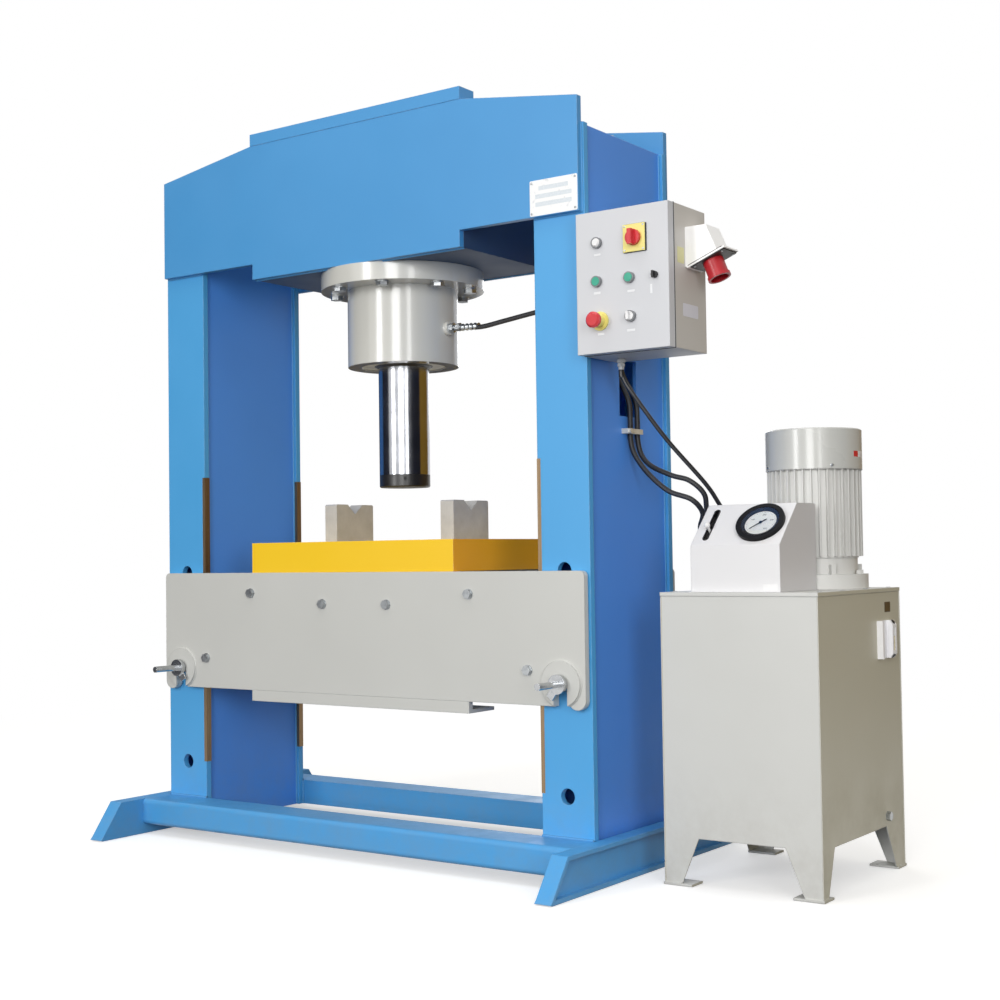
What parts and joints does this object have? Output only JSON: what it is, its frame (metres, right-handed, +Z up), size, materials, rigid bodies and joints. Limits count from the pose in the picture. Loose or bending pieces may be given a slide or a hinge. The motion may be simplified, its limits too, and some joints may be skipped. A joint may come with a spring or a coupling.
{
  "type": "h-frame hydraulic press",
  "caption": "Floor-standing H-frame hydraulic press with a pinned height-adjustable bed, a control cabinet and a separate motor-driven power unit.",
  "frame": {"origin": "the ram's axis at floor level", "axes": "+X right along the press towards the power unit, +Y to the back, +Z up along the ram"},
  "size_m": [2.292, 1.03, 2.2],
  "materials": {
    "frame_paint": "glossy light blue enamel",
    "bed_paint": "semi-gloss light grey enamel",
    "cylinder_paint": "glossy warm grey enamel",
    "bolster_paint": "glossy yellow enamel",
    "bare_steel": "machined, slightly dull",
    "zinc_steel": "bright zinc plated",
    "chrome": "hard chrome, ground and polished",
    "black_steel": "black oxide, satin",
    "strip_steel": "bare brown guide strip",
    "hose_rubber": "matte black",
    "cabinet_paint": "light grey textured powder coat",
    "white_plastic": "glossy white",
    "red_plastic": "glossy red",
    "green_plastic": "glossy green",
    "yellow_plastic": "glossy yellow",
    "black_plastic": "matte black",
    "housing_paint": "satin white enamel",
    "motor_alloy": "cast alloy under light grey enamel"
  },
  "bodies": {
    "frame": {"column_flanges": "frame_paint", "column_webs": "frame_paint", "crown_plates": "frame_paint", "crown_base": "frame_paint", "crown_top_bars": "frame_paint", "feet": "frame_paint", "cross_members": "frame_paint", "wear_strips": "strip_steel", "cylinder_barrel": "cylinder_paint", "rod_gland": "cylinder_paint", "flange_bolts": "zinc_steel", "hydraulic_fittings": "zinc_steel", "ram_hose": "hose_rubber", "return_pipe": "zinc_steel", "pressure_hose": "hose_rubber", "return_hose": "hose_rubber", "control_cable": "hose_rubber", "hose_clip": "zinc_steel", "cabinet_box": "cabinet_paint", "electrical_plate": "zinc_steel", "inlet_housing": "white_plastic", "inlet_socket": "red_plastic", "cable_glands": "zinc_steel", "tank_body": "bed_paint", "tank_lid": "bed_paint", "level_gauge": "white_plastic", "drain_plug": "zinc_steel", "control_housing": "housing_paint", "valve_block": "bare_steel", "gauge_case": "black_plastic", "motor_body": "motor_alloy", "fan_cover": "bed_paint", "pump_body": "motor_alloy"},
    "ram": {"ram": "chrome", "piston": "bare_steel", "ram_nose": "black_steel"},
    "bed": {"bed_plates": "bed_paint", "bed_tie_bars": "bed_paint", "bed_spacers": "bare_steel", "bed_bolts": "zinc_steel", "bolster_plate": "bolster_paint", "v_blocks": "bare_steel"},
    "pin_left": {"pin_left": "zinc_steel"},
    "pin_right": {"pin_right": "zinc_steel"},
    "cabinet_door": {"cabinet_door": "cabinet_paint", "main_switch_plate": "yellow_plastic", "pilot_lamp": "white_plastic", "button_collars": "zinc_steel", "estop_collar": "yellow_plastic"},
    "main_switch": {"main_switch_knob": "red_plastic"},
    "start_button": {"start_button": "green_plastic"},
    "pump_button": {"pump_button": "green_plastic"},
    "door_lock": {"door_lock": "black_plastic"},
    "estop": {"estop_head": "red_plastic"},
    "selector": {"selector_knob": "white_plastic"},
    "filler_cap": {"filler_cap": "black_plastic"},
    "gauge_needle": {"gauge_needle": "black_steel"},
    "control_lever": {"control_lever": "white_plastic"},
    "motor_rotor": {"motor_rotor": "bare_steel", "motor_fan": "black_plastic"}
  },
  "joints": [
    {"name": "ram_slide", "type": "slide", "parent": "frame", "child": "ram", "axis": [0, 0, -1], "range_m": [-0.3, 0.08]},
    {"name": "bed_lift", "type": "slide", "parent": "frame", "child": "bed", "axis": [0, 0, 1], "range_m": [0, 0.08]},
    {"name": "pin_left_slide", "type": "slide", "parent": "frame", "child": "pin_left", "axis": [0, -1, 0], "range_m": [0, 0.5]},
    {"name": "pin_right_slide", "type": "slide", "parent": "frame", "child": "pin_right", "axis": [0, -1, 0], "range_m": [0, 0.5]},
    {"name": "door_hinge", "type": "hinge", "parent": "frame", "child": "cabinet_door", "pos_m": [0.8058, -0.2375, 1.5835], "axis": [0, 0, -1], "range_deg": [0, 110]},
    {"name": "main_switch_turn", "type": "hinge", "parent": "cabinet_door", "child": "main_switch", "pos_m": [0.991, -0.2703, 1.686], "axis": [0, 1, 0], "range_deg": [0, 90]},
    {"name": "start_press", "type": "slide", "parent": "cabinet_door", "child": "start_button", "axis": [0, 1, 0], "range_m": [0, 0.0035], "stiffness_N_per_m": 800},
    {"name": "pump_press", "type": "slide", "parent": "cabinet_door", "child": "pump_button", "axis": [0, 1, 0], "range_m": [0, 0.0035], "stiffness_N_per_m": 800},
    {"name": "lock_turn", "type": "hinge", "parent": "cabinet_door", "child": "door_lock", "pos_m": [1.048, -0.2703, 1.584], "axis": [0, 1, 0], "range_deg": [0, 90]},
    {"name": "estop_press", "type": "slide", "parent": "cabinet_door", "child": "estop", "axis": [0, 1, 0], "range_m": [0, 0.005], "stiffness_N_per_m": 2000},
    {"name": "selector_turn", "type": "hinge", "parent": "cabinet_door", "child": "selector", "pos_m": [0.975, -0.2703, 1.484], "axis": [0, 1, 0], "range_deg": [-45, 45]},
    {"name": "filler_turn", "type": "hinge", "parent": "frame", "child": "filler_cap", "pos_m": [1.06, 0.3395, 0.766], "axis": [0, 0, 1], "range_deg": [0, 60]},
    {"name": "needle_turn", "type": "hinge", "parent": "frame", "child": "gauge_needle", "pos_m": [1.2275, -0.0585, 0.94557], "axis": [0, 0.7006, -0.7136], "range_deg": [0, 270], "stiffness_Nm_per_rad": 0.01},
    {"name": "lever_tilt", "type": "hinge", "parent": "frame", "child": "control_lever", "pos_m": [1.084, 0.0015, 0.85733], "axis": [-1, 0, 0], "range_deg": [-15, 25]},
    {"name": "motor_spin", "type": "hinge", "parent": "frame", "child": "motor_rotor", "pos_m": [1.239, 0.2585, 0.9], "axis": [0, 0, 1], "continuous": true}
  ]
}
